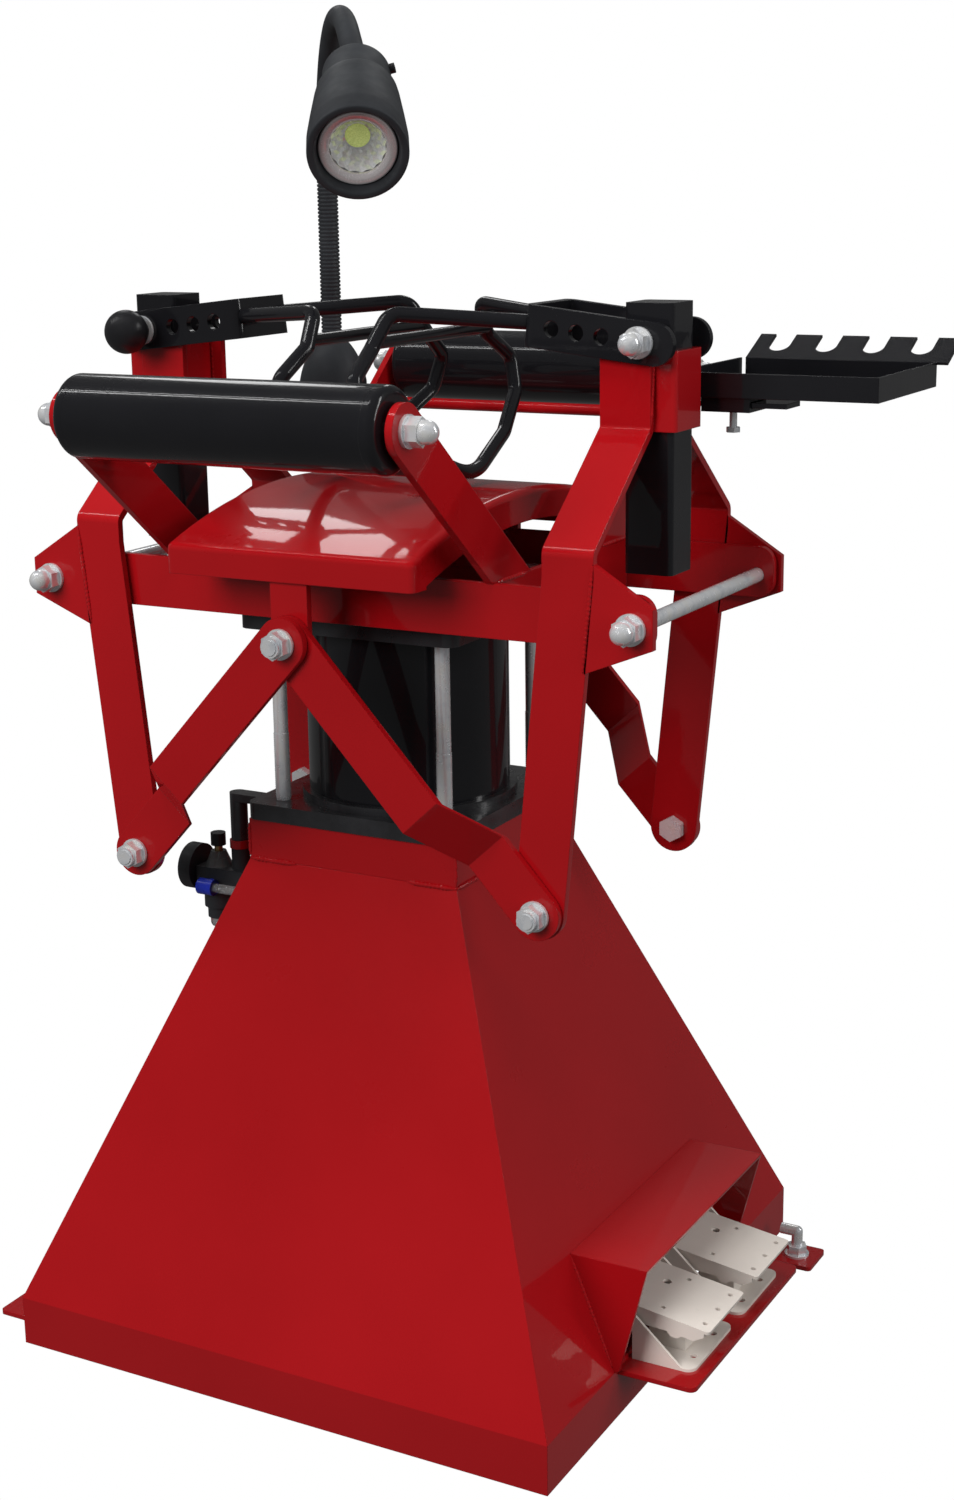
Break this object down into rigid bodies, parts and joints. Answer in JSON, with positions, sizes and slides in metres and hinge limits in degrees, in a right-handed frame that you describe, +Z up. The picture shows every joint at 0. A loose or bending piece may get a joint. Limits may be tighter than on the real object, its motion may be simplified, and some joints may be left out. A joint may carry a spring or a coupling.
{
  "type": "pneumatic tyre spreader",
  "caption": "Floor-standing air-powered tyre spreader with hook arms, rollers, lifting saddle, foot pedals, tool tray and lamp.",
  "frame": {"origin": "on the floor at the centre of the base, on the underside of the bottom strap", "axes": "+X to the tray and pedal side, +Y away from the front roller, +Z up"},
  "size_m": [0.697, 0.549, 1.1005],
  "materials": {
    "red_paint": "gloss",
    "zinc": "bright",
    "pedal_paint": "satin",
    "steel": "machined",
    "black_cover": "satin",
    "black_paint": "gloss",
    "aluminium": "machined",
    "knob_plastic": "gloss",
    "black_plastic": "matte",
    "reflector": "mirror",
    "led": "gloss",
    "clear_plastic": "clear",
    "brass": "satin",
    "needle": "matte",
    "blue_plastic": "gloss"
  },
  "bodies": {
    "stand": {"base_pyramid": "red_paint", "base_collar": "red_paint", "anchor_bolt": "zinc", "pedal_hood": "red_paint", "pedal_shelf": "red_paint", "foot_valves": "pedal_paint", "cylinder_covers": "black_cover", "cylinder_tube": "black_paint", "tie_rods": "zinc", "frame_rails": "red_paint", "frame_top_plate": "red_paint", "roller_arms_front": "red_paint", "roller_arms_rear": "red_paint", "roller_axle_front": "zinc", "roller_axle_rear": "zinc", "lamp_base": "black_plastic", "air_unit": "black_plastic", "clear_bowls": "clear_plastic", "gauge": "black_plastic", "air_tube": "blue_plastic"},
    "ram": {"piston": "aluminium", "piston_rod": "steel", "saddle": "red_paint", "lug_bolts": "zinc"},
    "arm_right": {"arm_right_legs": "red_paint", "arm_sleeve_right": "red_paint", "axle_right": "zinc", "tray_bracket": "black_paint"},
    "arm_left": {"arm_left_legs": "red_paint", "arm_sleeve_left": "red_paint", "axle_left": "zinc"},
    "post_right": {"post_right": "black_paint", "hook_bolt_right": "zinc"},
    "post_left": {"post_left": "black_paint", "hook_bolt_left": "zinc", "ball_knob": "knob_plastic"},
    "hook_right": {"hook_bracket_right": "black_paint", "hook_loop_right": "black_paint"},
    "hook_left": {"hook_bracket_left": "black_paint", "hook_loop_left": "black_paint"},
    "link_front_right": {"link_front_right": "red_paint"},
    "link_front_left": {"link_front_left": "red_paint"},
    "link_rear_right": {"link_rear_right": "red_paint"},
    "link_rear_left": {"link_rear_left": "red_paint"},
    "roller_front": {"roller_front": "black_paint"},
    "roller_rear": {"roller_rear": "black_paint"},
    "pedal_front": {"pedal_front": "pedal_paint"},
    "pedal_rear": {"pedal_rear": "pedal_paint"},
    "plunger_front": {"plunger_front": "steel"},
    "plunger_rear": {"plunger_rear": "steel"},
    "tray": {"tray": "black_paint"},
    "clamp_screw": {"clamp_screw": "zinc"},
    "lamp": {"lamp_neck": "black_plastic", "lamp_head": "black_plastic", "lamp_reflector": "reflector", "lamp_led": "led", "lamp_lens": "clear_plastic"},
    "lamp_switch": {"lamp_switch": "knob_plastic"},
    "gauge_needle": {"gauge_needle": "needle"},
    "drip_knob": {"drip_knob": "brass"}
  },
  "joints": [
    {"name": "ram_slide", "type": "slide", "parent": "stand", "child": "ram", "axis": [0, 0, 1], "range_m": [0, 0.07]},
    {"name": "arm_right_swing", "type": "hinge", "parent": "stand", "child": "arm_right", "pos_m": [0.2635, 0, 0.6435], "axis": [0, 1, 0], "range_deg": [0, 15.5]},
    {"name": "post_right_lift", "type": "slide", "parent": "arm_right", "child": "post_right", "axis": [0, 0, 1], "range_m": [0, 0.0215]},
    {"name": "hook_right_fold", "type": "hinge", "parent": "post_right", "child": "hook_right", "pos_m": [0.227, 0, 0.84], "axis": [0, 1, 0], "range_deg": [0, 75]},
    {"name": "link_front_right_swing", "type": "hinge", "parent": "ram", "child": "link_front_right", "pos_m": [0, 0, 0.621], "axis": [0, 1, 0], "range_deg": [0, 15.1]},
    {"name": "link_rear_right_swing", "type": "hinge", "parent": "ram", "child": "link_rear_right", "pos_m": [0, 0, 0.621], "axis": [0, 1, 0], "range_deg": [0, 15.1]},
    {"name": "arm_left_swing", "type": "hinge", "parent": "stand", "child": "arm_left", "pos_m": [-0.2635, 0, 0.6435], "axis": [0, -1, 0], "range_deg": [0, 15.5]},
    {"name": "post_left_lift", "type": "slide", "parent": "arm_left", "child": "post_left", "axis": [0, 0, 1], "range_m": [0, 0.0215]},
    {"name": "hook_left_fold", "type": "hinge", "parent": "post_left", "child": "hook_left", "pos_m": [-0.227, 0, 0.84], "axis": [0, -1, 0], "range_deg": [0, 75]},
    {"name": "link_front_left_swing", "type": "hinge", "parent": "ram", "child": "link_front_left", "pos_m": [0, 0, 0.621], "axis": [0, -1, 0], "range_deg": [0, 15.1]},
    {"name": "link_rear_left_swing", "type": "hinge", "parent": "ram", "child": "link_rear_left", "pos_m": [0, 0, 0.621], "axis": [0, -1, 0], "range_deg": [0, 15.1]},
    {"name": "roller_front_spin", "type": "hinge", "parent": "stand", "child": "roller_front", "pos_m": [0, -0.243, 0.793], "axis": [1, 0, 0], "continuous": true},
    {"name": "roller_rear_spin", "type": "hinge", "parent": "stand", "child": "roller_rear", "pos_m": [0, 0.243, 0.793], "axis": [1, 0, 0], "continuous": true},
    {"name": "pedal_front_press", "type": "hinge", "parent": "stand", "child": "pedal_front", "pos_m": [0.232, -0.058, 0.084], "axis": [0, 1, 0], "range_deg": [0, 10], "stiffness_Nm_per_rad": 3, "springref_deg": -6.88},
    {"name": "plunger_front_push", "type": "slide", "parent": "stand", "child": "plunger_front", "axis": [0, 0, -1], "range_m": [0, 0.008]},
    {"name": "pedal_rear_press", "type": "hinge", "parent": "stand", "child": "pedal_rear", "pos_m": [0.232, 0.044, 0.084], "axis": [0, 1, 0], "range_deg": [0, 10], "stiffness_Nm_per_rad": 3, "springref_deg": -6.88},
    {"name": "plunger_rear_push", "type": "slide", "parent": "stand", "child": "plunger_rear", "axis": [0, 0, -1], "range_m": [0, 0.008]},
    {"name": "tray_slide", "type": "slide", "parent": "arm_right", "child": "tray", "axis": [1, 0, 0], "range_m": [0, 0.025]},
    {"name": "clamp_screw_turn", "type": "hinge", "parent": "tray", "child": "clamp_screw", "pos_m": [0.263, 0.061, 0.777], "axis": [0, 0, 1], "range_deg": [-180, 180]},
    {"name": "lamp_swivel", "type": "hinge", "parent": "stand", "child": "lamp", "pos_m": [-0.192, 0.202, 0.79], "axis": [0, 0, 1], "range_deg": [-60, 60]},
    {"name": "lamp_switch_press", "type": "slide", "parent": "lamp", "child": "lamp_switch", "axis": [-0.8904, -0.3846, -0.2435], "range_m": [0, 0.0015], "stiffness_N_per_m": 300, "springref_m": -0.003},
    {"name": "gauge_needle_swing", "type": "hinge", "parent": "stand", "child": "gauge_needle", "pos_m": [-0.187, -0.058, 0.384], "axis": [-1, 0, 0], "range_deg": [0, 270], "stiffness_Nm_per_rad": 0.0004},
    {"name": "drip_knob_turn", "type": "hinge", "parent": "stand", "child": "drip_knob", "pos_m": [-0.159, -0.058, 0.41], "axis": [0, 0, 1], "range_deg": [0, 300]}
  ],
  "couplings": [
    {"joint": "arm_right_swing", "follows": "ram_slide", "rad_per_m": 3.8425},
    {"joint": "post_right_lift", "follows": "ram_slide", "ratio": 0.3},
    {"joint": "link_front_right_swing", "follows": "ram_slide", "rad_per_m": 3.7314},
    {"joint": "link_rear_right_swing", "follows": "ram_slide", "rad_per_m": 3.7314},
    {"joint": "arm_left_swing", "follows": "ram_slide", "rad_per_m": 3.8425},
    {"joint": "post_left_lift", "follows": "ram_slide", "ratio": 0.3},
    {"joint": "link_front_left_swing", "follows": "ram_slide", "rad_per_m": 3.7314},
    {"joint": "link_rear_left_swing", "follows": "ram_slide", "rad_per_m": 3.7314},
    {"joint": "plunger_front_push", "follows": "pedal_front_press", "m_per_rad": 0.045},
    {"joint": "plunger_rear_push", "follows": "pedal_rear_press", "m_per_rad": 0.045}
  ]
}
